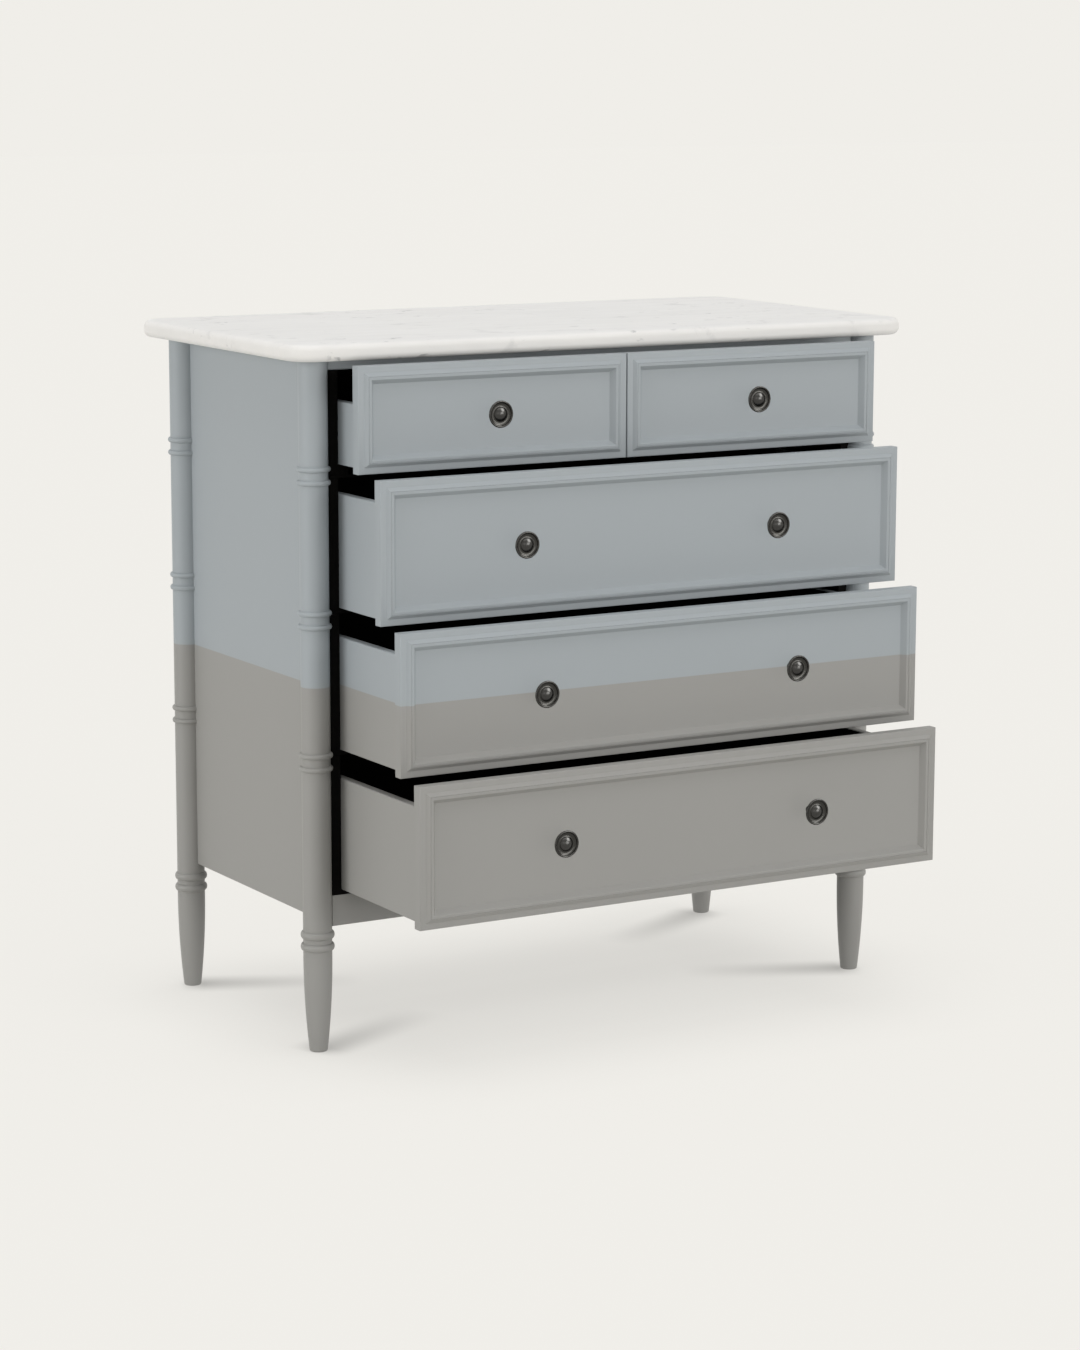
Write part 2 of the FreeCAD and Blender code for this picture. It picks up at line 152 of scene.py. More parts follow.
def feed(tree, socket, value):
    """Link another socket to a socket, or give it a plain value."""
    if isinstance(value, bpy.types.NodeSocket):
        tree.links.new(value, socket)
    elif value is not None:
        socket.default_value = value


def new_group(name, kind, inputs, outputs):
    """An empty node group with named sockets; returns its tree, input node and output node."""
    tree = bpy.data.node_groups.new(name, kind)
    for label, socket_type, value in inputs:
        socket = tree.interface.new_socket(label, in_out="INPUT", socket_type=socket_type)
        if value is not None:
            socket.default_value = value
    for label, socket_type in outputs:
        tree.interface.new_socket(label, in_out="OUTPUT", socket_type=socket_type)
    return tree, tree.nodes.new("NodeGroupInput"), tree.nodes.new("NodeGroupOutput")


def math_node(tree, operation, first, second=None):
    """A math node fed by sockets or plain numbers; returns its output."""
    node = tree.nodes.new("ShaderNodeMath")
    node.operation = operation
    for socket, value in zip(node.inputs, (first, second)):
        feed(tree, socket, value)
    return node.outputs["Value"]


def vector_node(tree, operation, first, second=None):
    """A vector node fed by sockets or plain vectors; returns the node."""
    node = tree.nodes.new("ShaderNodeVectorMath")
    node.operation = operation
    for socket, value in zip(node.inputs, (first, second)):
        feed(tree, socket, value)
    return node


def joined(tree, *values):
    """A vector made of three values, each a socket or a plain number."""
    node = tree.nodes.new("ShaderNodeCombineXYZ")
    for socket, value in zip(node.inputs, values):
        feed(tree, socket, value)
    return node.outputs["Vector"]


def noise_node(tree, vector, scale, detail, roughness=0.5, distortion=0.0):
    """A noise texture on given coordinates; returns its value."""
    node = tree.nodes.new("ShaderNodeTexNoise")
    settings = {"Vector": vector, "Scale": scale, "Detail": detail, "Roughness": roughness,
                "Distortion": distortion}
    for label, value in settings.items():
        feed(tree, node.inputs[label], value)
    return node.outputs["Fac"]


def ramp_node(tree, value, low=0.0, high=1.0, out_low=0.0, out_high=1.0):
    """Stretch a value between two limits, clamped; returns the result."""
    node = tree.nodes.new("ShaderNodeMapRange")
    settings = {"Value": value, "From Min": low, "From Max": high, "To Min": out_low, "To Max": out_high}
    for label, setting in settings.items():
        feed(tree, node.inputs[label], setting)
    return node.outputs["Result"]


def mix_colours(tree, factor, first, second):
    """Mix two colours, each a socket or a plain colour; returns the result."""
    node = tree.nodes.new("ShaderNodeMix")
    node.data_type = "RGBA"
    sockets = {socket.identifier: socket for socket in node.inputs}
    for key, value in (("Factor_Float", factor), ("A_Color", first), ("B_Color", second)):
        feed(tree, sockets[key], value)
    return next(socket for socket in node.outputs if socket.identifier == "Result_Color")


def scaled(tree, colour, factor):
    """A colour made lighter or darker by a factor."""
    node = vector_node(tree, "SCALE", colour)
    tree.links.new(factor, node.inputs["Scale"])
    return node.outputs["Vector"]


def attribute(tree, name):
    """The value that a piece's mesh carries under a name."""
    node = tree.nodes.new("ShaderNodeAttribute")
    node.attribute_name = name
    return node.outputs["Fac"]


def tone_drift_group():
    """Slow cloudy change of tone, as a factor around one."""
    group, source, result = new_group(
        "Tone drift", "ShaderNodeTree",
        [("Coordinates", "NodeSocketVector", None), ("Scale", "NodeSocketFloat", 6.0),
         ("Amount", "NodeSocketFloat", 0.05)],
        [("Factor", "NodeSocketFloat"), ("Cloud", "NodeSocketFloat")])
    cloud = noise_node(group, source.outputs["Coordinates"], scale=source.outputs["Scale"], detail=4.0,
                       roughness=0.55)
    swing = math_node(group, "SUBTRACT", cloud, 0.5)
    swing = math_node(group, "MULTIPLY", swing, source.outputs["Amount"])
    group.links.new(math_node(group, "ADD", swing, 1.0), result.inputs["Factor"])
    group.links.new(cloud, result.inputs["Cloud"])
    return group


def wood_grain_group():
    """Long fibres along X, Y or Z: coordinates are squeezed along the grain."""
    group, source, result = new_group(
        "Wood grain", "ShaderNodeTree",
        [("Coordinates", "NodeSocketVector", None), ("Squeeze", "NodeSocketVector", (1.0, 1.0, 1.0)),
         ("Scale", "NodeSocketFloat", 160.0)],
        [("Fibre", "NodeSocketFloat"), ("Height", "NodeSocketFloat")])
    squeezed = vector_node(group, "MULTIPLY", source.outputs["Coordinates"], source.outputs["Squeeze"])
    fibre = noise_node(group, squeezed.outputs["Vector"], scale=source.outputs["Scale"], detail=5.0,
                       roughness=0.6, distortion=0.35)
    group.links.new(ramp_node(group, fibre, CLOUD_LOW, CLOUD_HIGH), result.inputs["Fibre"])
    group.links.new(math_node(group, "POWER", fibre, 2.0), result.inputs["Height"])
    return group


TONE_DRIFT = tone_drift_group()
WOOD_GRAIN = wood_grain_group()


# Finishes.

def new_material(name):
    """A material with its shader; returns the material, tree, shader and Object coordinates."""
    material = bpy.data.materials.new(name)
    material.use_nodes = True
    tree = material.node_tree
    shader = tree.nodes["Principled BSDF"]
    coordinates = tree.nodes.new("ShaderNodeTexCoord").outputs["Object"]
    return material, tree, shader, coordinates


def add_group(tree, group, coordinates, **values):
    """Place a shared group in a material with its own values."""
    node = tree.nodes.new("ShaderNodeGroup")
    node.node_tree = group
    tree.links.new(coordinates, node.inputs["Coordinates"])
    for label, value in values.items():
        node.inputs[label].default_value = value
    return node


def bump(tree, shader, height, strength, distance):
    """Turn a height into the shader's normal."""
    node = tree.nodes.new("ShaderNodeBump")
    node.inputs["Strength"].default_value = strength
    node.inputs["Distance"].default_value = distance
    tree.links.new(height, node.inputs["Height"])
    tree.links.new(node.outputs["Normal"], shader.inputs["Normal"])


def cloudy_roughness(tree, shader, drift, smoothest, roughest):
    """Let the gloss change with the clouds of the tone."""
    roughness = ramp_node(tree, drift.outputs["Cloud"], CLOUD_LOW, CLOUD_HIGH, smoothest, roughest)
    tree.links.new(roughness, shader.inputs["Roughness"])


def satin_paint():
    """Sprayed satin paint: blue-grey above a level line, warm grey below it."""
    material, tree, shader, coordinates = new_material("satin paint")
    split = tree.nodes.new("ShaderNodeSeparateXYZ")
    tree.links.new(coordinates, split.inputs["Vector"])
    above = ramp_node(tree, split.outputs["Z"], PAINT_LINE_HEIGHT - PAINT_LINE_SOFTNESS,
                      PAINT_LINE_HEIGHT + PAINT_LINE_SOFTNESS)
    colour = mix_colours(tree, above, LOWER_PAINT, UPPER_PAINT)
    drift = add_group(tree, TONE_DRIFT, coordinates, Scale=5.0, Amount=0.07)
    grain = add_group(tree, WOOD_GRAIN, coordinates, Squeeze=(0.04, 1.0, 1.0), Scale=140.0)
    tree.links.new(scaled(tree, colour, drift.outputs["Factor"]), shader.inputs["Base Color"])
    cloudy_roughness(tree, shader, drift, smoothest=0.40, roughest=0.50)
    spray = noise_node(tree, coordinates, scale=900.0, detail=2.0)
    relief = math_node(tree, "MULTIPLY", grain.outputs["Height"], PAINT_GRAIN_RELIEF)
    bump(tree, shader, math_node(tree, "ADD", spray, relief), strength=0.10, distance=0.00012)
    shader.inputs["Specular IOR Level"].default_value = 0.35
    return material


def white_marble():
    """Honed white marble: faint clouds and bedding, soft grey smudges and a few short dark flecks."""
    material, tree, shader, coordinates = new_material("white marble")
    drift = add_group(tree, TONE_DRIFT, coordinates, Scale=7.0, Amount=0.06)
    edge = attribute(tree, "edge")
    smudge = noise_node(tree, coordinates, scale=16.0, detail=5.0, roughness=0.6, distortion=1.2)
    smudge = ramp_node(tree, smudge, low=0.60, high=0.80, out_high=0.3)
    stretched = vector_node(tree, "MULTIPLY", coordinates, FLECK_STRETCH)
    fleck = noise_node(tree, stretched.outputs["Vector"], scale=38.0, detail=3.0, distortion=0.6)
    fleck = math_node(tree, "ADD", fleck, math_node(tree, "MULTIPLY", edge, FLECK_EDGE_GAIN))
    fleck = ramp_node(tree, fleck, low=0.645, high=0.745, out_high=0.75)
    patch = ramp_node(tree, noise_node(tree, coordinates, scale=6.0, detail=2.0), low=0.495, high=0.58)
    grey = math_node(tree, "MAXIMUM", smudge, math_node(tree, "MULTIPLY", fleck, patch))
    bedding = add_group(tree, WOOD_GRAIN, coordinates, Squeeze=(0.15, 1.0, 1.0), Scale=45.0)
    bedding = math_node(tree, "MULTIPLY", bedding.outputs["Fibre"], BEDDING_GREY)
    grey = math_node(tree, "ADD", grey, bedding)
    # the rounded edge, marked by its edge value, takes a warmer, darker tone: partly tint, partly painted
    # shade
    white = mix_colours(tree, edge, STONE_WHITE, STONE_EDGE_SHADE)
    colour = mix_colours(tree, grey, white, STONE_GREY)
    tree.links.new(scaled(tree, colour, drift.outputs["Factor"]), shader.inputs["Base Color"])
    roughness = ramp_node(tree, grey, high=0.5, out_low=0.50, out_high=0.60)
    tree.links.new(roughness, shader.inputs["Roughness"])
    bump(tree, shader, noise_node(tree, coordinates, scale=300.0, detail=3.0), strength=0.04, distance=0.0001)
    shader.inputs["Specular IOR Level"].default_value = 0.3
    return material


def dark_bronze():
    """Dark bronze with a painted sheen: lighter metal on the dome and the outer lip of the rim, broken up by
    clouds.
    """
    material, tree, shader, coordinates = new_material("dark bronze")
    drift = add_group(tree, TONE_DRIFT, coordinates, Scale=450.0, Amount=0.25)
    cloud = ramp_node(tree, drift.outputs["Cloud"], CLOUD_LOW, CLOUD_HIGH, out_low=0.6)
    # painted sheen: lighter metal on the dome and lip, broken up by clouds
    sheen_mask = math_node(tree, "MULTIPLY", attribute(tree, "painted_sheen"), cloud)
    tree.links.new(mix_colours(tree, sheen_mask, BRONZE, BRONZE_SHEEN), shader.inputs["Base Color"])
    cloudy_roughness(tree, shader, drift, smoothest=0.20, roughest=0.30)
    bump(tree, shader, noise_node(tree, coordinates, scale=700.0, detail=2.0), strength=0.12, distance=0.0001)
    shader.inputs["Metallic"].default_value = 1.0
    return material


def shade_stained_wood(name, squeeze):
    """Matt wood with its grain along one axis, its stain darkened to near-black as painted shade for the
    insides.
    """
    material, tree, shader, coordinates = new_material(name)
    grain = add_group(tree, WOOD_GRAIN, coordinates, Squeeze=squeeze, Scale=170.0)
    drift = add_group(tree, TONE_DRIFT, coordinates, Scale=4.0, Amount=0.3)
    colour = mix_colours(tree, grain.outputs["Fibre"], SHADE_STAIN_DARK, SHADE_STAIN_LIGHT)
    tree.links.new(scaled(tree, colour, drift.outputs["Factor"]), shader.inputs["Base Color"])
    roughness = ramp_node(tree, grain.outputs["Fibre"], out_low=0.75, out_high=0.9)
    tree.links.new(roughness, shader.inputs["Roughness"])
    bump(tree, shader, grain.outputs["Height"], strength=0.25, distance=0.0003)
    shader.inputs["Specular IOR Level"].default_value = 0.05
    return material


def zinc_plate():
    """Zinc-plated steel of the screws."""
    material, tree, shader, coordinates = new_material("zinc plate")
    drift = add_group(tree, TONE_DRIFT, coordinates, Scale=500.0, Amount=0.2)
    tree.links.new(scaled(tree, ZINC, drift.outputs["Factor"]), shader.inputs["Base Color"])
    cloudy_roughness(tree, shader, drift, smoothest=0.28, roughest=0.45)
    shader.inputs["Metallic"].default_value = 1.0
    return material


PAINT = satin_paint()
MARBLE = white_marble()
BRONZE_FINISH = dark_bronze()
# near-black stains of painted shade for the insides
SHADE_STAIN_ALONG_X = shade_stained_wood("near-black shade stain along x", (0.05, 1.0, 1.0))
SHADE_STAIN_ALONG_Y = shade_stained_wood("near-black shade stain along y", (1.0, 0.05, 1.0))
ZINC_FINISH = zinc_plate()


# Meshes.

def make_object(name, mesh, *materials):
    """An object at the origin for a finished mesh."""
    piece = bpy.data.objects.new(name, mesh)
    bpy.context.scene.collection.objects.link(piece)
    for material in materials:
        mesh.materials.append(material)
    return piece


def mesh_from(name, shape):
    """Turn a bmesh into a mesh with outward normals, smooth where its faces meet at a low angle."""
    bmesh.ops.remove_doubles(shape, verts=shape.verts, dist=WELD)
    bmesh.ops.recalc_face_normals(shape, faces=shape.faces)
    mesh = bpy.data.meshes.new(name)
    shape.to_mesh(mesh)
    shape.free()
    mesh.shade_smooth()
    mesh.set_sharp_from_angle(angle=SMOOTH_ANGLE)
    return mesh


def keep_modified(piece, modifier):
    """Keep what a modifier makes of a piece as its plain mesh."""
    graph = bpy.context.evaluated_depsgraph_get()
    mesh = bpy.data.meshes.new_from_object(piece.evaluated_get(graph))
    piece.modifiers.remove(modifier)
    piece.data = mesh


def show(piece, nodes):
    """Let a piece stand for its nodes, on their body."""
    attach(piece, frame["nodes"][nodes[0]]["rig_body"])
    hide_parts(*nodes)


def ring_stack(shape, rings):
    """Skin a stack of rings, each the same number of points, and cap both ends; returns the loops."""
    loops = [[shape.verts.new(point) for point in ring] for ring in rings]
    for lower, upper in zip(loops, loops[1:]):
        for index in range(len(lower)):
            after = (index + 1) % len(lower)
            shape.faces.new((lower[index], lower[after], upper[after], upper[index]))
    shape.faces.new(loops[0])
    shape.faces.new(loops[-1])
    return loops


def lathe(shape, profile, steps, place):
    """Turn (radius, height) points about a line and put each through a placing function."""
    turns = [2 * math.pi * step / steps for step in range(steps)]
    ring_stack(shape, [[place(radius * math.cos(turn), radius * math.sin(turn), height) for turn in turns]
                       for radius, height in profile])


def arc(centre, radii, start, end, steps):
    """Points along an arc or part of an ellipse, angles in degrees."""
    for step in range(steps + 1):
        angle = math.radians(start + (end - start) * step / steps)
        yield centre[0] + radii[0] * math.cos(angle), centre[1] + radii[1] * math.sin(angle)


# The stone top.

def rounded_plan(low, high, inset, height):
    """The outline of the slab at one height, drawn in from its box by an inset."""
    points = []
    reach = STONE_CORNER - inset
    middle = (low + high) / 2
    for corner, (x, y) in enumerate(((high.x, high.y), (low.x, high.y), (low.x, low.y), (high.x, low.y))):
        centre = (x - math.copysign(STONE_CORNER, x - middle.x),
                  y - math.copysign(STONE_CORNER, y - middle.y))
        start = 90 * corner
        outline = arc(centre, (reach, reach), start, start + 90, STONE_CORNER_STEPS)
        points += [Vector((across, ahead, height)) for across, ahead in outline]
    return points


def stone_top():
    """Slab with rounded corners and softly rounded edges, built from its outline at many heights."""
    low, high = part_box("marble_top")
    edge = (high.z - low.z - STONE_EDGE_FLAT) / 2
    lower = arc((0, low.z + edge), (edge, edge), -90, 0, STONE_EDGE_STEPS)
    upper = arc((0, high.z - edge), (edge, edge), 0, 90, STONE_EDGE_STEPS)
    levels = [(edge - across, height) for across, height in (*lower, *upper)]
    shape = bmesh.new()
    # the edge value carries the painted shade of the round into the marble
    layer = shape.verts.layers.float.new("edge")
    loops = ring_stack(shape, [rounded_plan(low, high, inset, height) for inset, height in levels])
    for loop, (inset, _) in zip(loops, levels):
        for vert in loop:
            vert[layer] = 1 - inset / edge
    piece = make_object("stone_top", mesh_from("stone top", shape), MARBLE)
    show(piece, ["marble_top"])


# The turned posts.

def new_geometry_tree(name, inputs):
    """A geometry tree with a mesh in and out and named inputs; returns the tree and its two end nodes."""
    mesh = ("Geometry", "NodeSocketGeometry")
    return new_group(name, "GeometryNodeTree", [(*mesh, None), *inputs], [mesh])


def end_tree(tree, geometry, source, result):
    """Finish a geometry tree with real faces and their material."""
    real = tree.nodes.new("GeometryNodeRealizeInstances")
    tree.links.new(geometry, real.inputs["Geometry"])
    dress = tree.nodes.new("GeometryNodeSetMaterial")
    tree.links.new(real.outputs["Geometry"], dress.inputs["Geometry"])
    tree.links.new(source.outputs["Material"], dress.inputs["Material"])
    tree.links.new(dress.outputs["Geometry"], result.inputs["Geometry"])


def one_bead(tree, source):
    """One bead: a flat grid rolled up across its width into an oval tube and bent round the shaft."""
    grid = tree.nodes.new("GeometryNodeMeshGrid")
    grid.inputs["Vertices X"].default_value = BEAD_STEPS_AROUND + 1
    grid.inputs["Vertices Y"].default_value = BEAD_STEPS_ACROSS + 1
    spot = tree.nodes.new("ShaderNodeSeparateXYZ")
    tree.links.new(tree.nodes.new("GeometryNodeInputPosition").outputs["Position"], spot.inputs["Vector"])
    around = math_node(tree, "MULTIPLY", spot.outputs["X"], 2 * math.pi)
    across = math_node(tree, "MULTIPLY", spot.outputs["Y"], 2 * math.pi)
    swell = math_node(tree, "MULTIPLY", math_node(tree, "COSINE", across), source.outputs["Bead Rise"])
    radius = math_node(tree, "ADD", swell, source.outputs["Shaft Radius"])
    half_height = math_node(tree, "MULTIPLY", source.outputs["Bead Height"], 0.5)
    rise = math_node(tree, "MULTIPLY", math_node(tree, "SINE", across), half_height)
    ahead = math_node(tree, "MULTIPLY", math_node(tree, "COSINE", around), radius)
    aside = math_node(tree, "MULTIPLY", math_node(tree, "SINE", around), radius)
    bend = tree.nodes.new("GeometryNodeSetPosition")
    tree.links.new(grid.outputs["Mesh"], bend.inputs["Geometry"])
    tree.links.new(joined(tree, ahead, aside, rise), bend.inputs["Position"])
    seam = tree.nodes.new("GeometryNodeMergeByDistance")
    seam.inputs["Distance"].default_value = WELD
    tree.links.new(bend.outputs["Geometry"], seam.inputs["Geometry"])
    smooth = tree.nodes.new("GeometryNodeSetShadeSmooth")
    tree.links.new(seam.outputs["Geometry"], smooth.inputs["Geometry"])
    return smooth.outputs["Geometry"]


def bead_places(tree, source):
    """The rings up the post as points, two at each ring."""
    rings = tree.nodes.new("GeometryNodeMeshLine")
    tree.links.new(source.outputs["Ring Count"], rings.inputs["Count"])
    tree.links.new(joined(tree, 0.0, 0.0, source.outputs["First Ring"]), rings.inputs["Start Location"])
    tree.links.new(joined(tree, 0.0, 0.0, source.outputs["Ring Spacing"]), rings.inputs["Offset"])
    places = tree.nodes.new("GeometryNodeJoinGeometry")
    for half in (0.5, -0.5):
        move = tree.nodes.new("GeometryNodeTransform")
        tree.links.new(rings.outputs["Mesh"], move.inputs["Geometry"])
        step = math_node(tree, "MULTIPLY", source.outputs["Bead Pitch"], half)
        tree.links.new(joined(tree, 0.0, 0.0, step), move.inputs["Translation"])
        tree.links.new(move.outputs["Geometry"], places.inputs["Geometry"])
    return places.outputs["Geometry"]


def bead_tree():
    """Geometry nodes that add pairs of half-round turned beads to a post."""
    sizes = {"Shaft Radius": POST_RADIUS, "Bead Rise": BEAD_RISE, "Bead Height": SHAFT_BEAD_HEIGHT,
             "Bead Pitch": SHAFT_BEAD_PITCH, "First Ring": FIRST_RING_HEIGHT, "Ring Spacing": RING_SPACING}
    inputs = [(label, "NodeSocketFloat", value) for label, value in sizes.items()]
    inputs += [("Axis", "NodeSocketVector", (0.0, 0.0, 0.0)), ("Ring Count", "NodeSocketInt", RING_COUNT),
               ("Material", "NodeSocketMaterial", None)]
    tree, source, result = new_geometry_tree("Turned beads", inputs)
    copies = tree.nodes.new("GeometryNodeInstanceOnPoints")
    tree.links.new(bead_places(tree, source), copies.inputs["Points"])
    tree.links.new(one_bead(tree, source), copies.inputs["Instance"])
    shift = tree.nodes.new("GeometryNodeTransform")
    tree.links.new(copies.outputs["Instances"], shift.inputs["Geometry"])
    tree.links.new(source.outputs["Axis"], shift.inputs["Translation"])
    whole = tree.nodes.new("GeometryNodeJoinGeometry")
    tree.links.new(shift.outputs["Geometry"], whole.inputs["Geometry"])
    tree.links.new(source.outputs["Geometry"], whole.inputs["Geometry"])
    end_tree(tree, whole.outputs["Geometry"], source, result)
    return tree


def grow(piece, tree, **values):
    """Run a geometry tree on a piece with its own values and keep the result as a plain mesh."""
    modifier = piece.modifiers.new(tree.name, "NODES")
    modifier.node_group = tree
    labels = {item.name: item.identifier for item in tree.interface.items_tree if item.in_out == "INPUT"}
    for label, value in values.items():
        modifier[labels[label.replace("_", " ")]] = value
    keep_modified(piece, modifier)


def post_profile(top):
    """(radius, height): an eased foot, a bowed, tapering leg and a straight shaft."""
    profile = list(arc((FOOT_RADIUS - FOOT_EDGE, FOOT_EDGE), (FOOT_EDGE, FOOT_EDGE), -90, 0, FOOT_STEPS))
    for step in range(1, LEG_STEPS + 1):
        share = step / LEG_STEPS
        bow = 1 - (1 - share) ** 2
        profile.append((FOOT_RADIUS + (POST_RADIUS - FOOT_RADIUS) * bow,
                        FOOT_EDGE + (LEG_BOW_HEIGHT - FOOT_EDGE) * share))
    profile.append((POST_RADIUS, top))
    return profile


def turned_posts():
    """Four posts, each with a pair of beads over its leg and more pairs up its shaft."""
    beads = bead_tree()
    for end in ("front", "back"):
        for side in ("left", "right"):
            node = f"post_{end}_{side}"
            low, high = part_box(node)
            centre = (low + high) / 2
            shape = bmesh.new()
            lathe(shape, post_profile(high.z), TURNED_STEPS,
                  lambda x, y, z: Vector((centre.x + x, centre.y + y, z)))
            piece = make_object(f"turned_{node}", mesh_from(node, shape), PAINT)
            axis = (centre.x, centre.y, 0.0)
            grow(piece, beads, Axis=axis, Material=PAINT)
            grow(piece, beads, Axis=axis, Material=PAINT, Ring_Count=1, First_Ring=LEG_RING_HEIGHT,
                 Bead_Height=LEG_BEAD_HEIGHT, Bead_Pitch=LEG_BEAD_PITCH)
            show(piece, [node])


# Boards with softened edges.

def softened_board(node, slot, radius, *materials):
    """A copy of a node's board with its edges rounded over."""
    shape = bmesh.new()
    shape.from_mesh(frame["nodes"][node].data)
    bmesh.ops.remove_doubles(shape, verts=shape.verts, dist=WELD)
    bmesh.ops.dissolve_limit(shape, angle_limit=FLAT_ANGLE, verts=shape.verts, edges=shape.edges)
    mesh = bpy.data.meshes.new(node)
    shape.to_mesh(mesh)
    shape.free()
    piece = make_object(f"{node}_board", mesh, *materials)
    bevel = piece.modifiers.new("soft edges", "BEVEL")
    bevel.width = radius
    bevel.segments = BEVEL_STEPS
    bevel.limit_method = "ANGLE"
    bevel.angle_limit = BEVEL_ANGLE
    bevel.harden_normals = True
    keep_modified(piece, bevel)
    show(piece, [node])
    return piece


def shade_stain_facing(piece, direction):
    """Give the faces that look a given way the near-black stain of painted shade, the piece's second
    material.
    """
    for face in piece.data.polygons:
        if face.normal.dot(direction) > FACING:
            face.material_index = 1


def carcass_boards():
    """Panels, rails, dust board and runners."""
    # inner faces, the back panel's front, dust board, bottom panel and runners take the near-black stain of
    # painted shade
    for side, inwards in (("left", RIGHTWARDS), ("right", LEFTWARDS)):
        panel = softened_board(f"side_panel_{side}", "paint", BOARD_ROUND, PAINT, SHADE_STAIN_ALONG_Y)
        shade_stain_facing(panel, inwards)
    back = softened_board("back_panel", "paint", BOARD_ROUND, PAINT, SHADE_STAIN_ALONG_X)
    shade_stain_facing(back, FORWARDS)
    for node in ("top_rail", "bottom_rail"):
        softened_board(node, "paint", BOARD_ROUND, PAINT)
    for node in ("bottom_panel", "dust_board"):
        softened_board(node, "dark_wood", BOARD_ROUND, SHADE_STAIN_ALONG_X)
    for node in frame["nodes"]:
        if node.startswith("runner_"):
            softened_board(node, "dark_wood", BOARD_ROUND, SHADE_STAIN_ALONG_Y)


# Drawers.

def eased(corners):
    """An open path through (across, deep, ease) corners, each eased over a length on both its sides."""
    path = []
    for index, (across, deep, ease) in enumerate(corners):
        spot = Vector((across, deep))
        if not ease:
            path.append(spot)
            continue
        before, after = (Vector(corners[index + way][:2]) for way in (-1, 1))
        first = spot + ease * (before - spot).normalized()
        last = spot + ease * (after - spot).normalized()
        for step in range(EASE_STEPS + 1):
            share = step / EASE_STEPS
            path.append(first.lerp(spot, share).lerp(spot.lerp(last, share), share))
    return path


def front_rings(low, high):
    """The front as nested rectangles: back, rounded edge, border, moulding with its quirk, sunk panel."""
    face = high.y - FRONT_THICKNESS
    crown, panel = face - MOULDING_HEIGHT, face + PANEL_RECESS
    inside = MOULDING_BORDER + MOULDING_WIDTH
    path = eased([(0.0, high.y, 0.0), (0.0, face, FRONT_ROUND), (MOULDING_BORDER, face, PAINT_FILL),
                  (MOULDING_BORDER + OUTER_SLOPE, crown, MOULDING_EASE),
                  (QUIRK_INSET - QUIRK_WIDTH / 2, crown, 0.0), (QUIRK_INSET, crown + QUIRK_DEPTH, 0.0),
                  (QUIRK_INSET + QUIRK_WIDTH / 2, crown, 0.0), (inside - INNER_SLOPE, crown, MOULDING_EASE),
                  (inside, panel, PAINT_FILL), (2 * inside, panel, 0.0)])
    return [[Vector((low.x + inset, deep, low.z + inset)), Vector((high.x - inset, deep, low.z + inset)),
             Vector((high.x - inset, deep, high.z - inset)), Vector((low.x + inset, deep, high.z - inset))]
            for inset, deep in path]


def drawer_front(name):
    """Front board with rounded edges and a sloped moulding mitred round its sunk panel."""
    node = f"{name}_front"
    low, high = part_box(node)
    shape = bmesh.new()
    ring_stack(shape, front_rings(low, high))
    piece = make_object(f"{node}_board", mesh_from(node, shape), PAINT, SHADE_STAIN_ALONG_X)
    # the back of the front takes the near-black stain of painted shade
    shade_stain_facing(piece, BACKWARDS)
    show(piece, [node])


def drawer_box(name):
    """Sides painted outside and stained near-black inside, with a near-black back and floor: a stain deepened
    into painted shade.
    """
    for side, inwards in (("left", RIGHTWARDS), ("right", LEFTWARDS)):
        piece = softened_board(f"{name}_side_{side}", "paint", SIDE_ROUND, PAINT, SHADE_STAIN_ALONG_Y)
        shade_stain_facing(piece, inwards)
    softened_board(f"{name}_back", "dark_wood", BOARD_ROUND, SHADE_STAIN_ALONG_X)
    softened_board(f"{name}_bottom", "dark_wood", BOARD_ROUND, SHADE_STAIN_ALONG_X)


def row_tree():
    """Geometry nodes that set copies of one turned piece in a row along X."""
    inputs = [("Count", "NodeSocketInt", 1), ("Spacing", "NodeSocketFloat", KNOB_SPACING),
              ("Start", "NodeSocketVector", (0.0, 0.0, 0.0)), ("Material", "NodeSocketMaterial", None)]
    tree, source, result = new_geometry_tree("Row of turned pieces", inputs)
    line = tree.nodes.new("GeometryNodeMeshLine")
    tree.links.new(source.outputs["Count"], line.inputs["Count"])
    tree.links.new(source.outputs["Start"], line.inputs["Start Location"])
    tree.links.new(joined(tree, source.outputs["Spacing"], 0.0, 0.0), line.inputs["Offset"])
    copies = tree.nodes.new("GeometryNodeInstanceOnPoints")
    tree.links.new(line.outputs["Mesh"], copies.inputs["Points"])
    tree.links.new(source.outputs["Geometry"], copies.inputs["Instance"])
    end_tree(tree, copies.outputs["Instances"], source, result)
    return tree


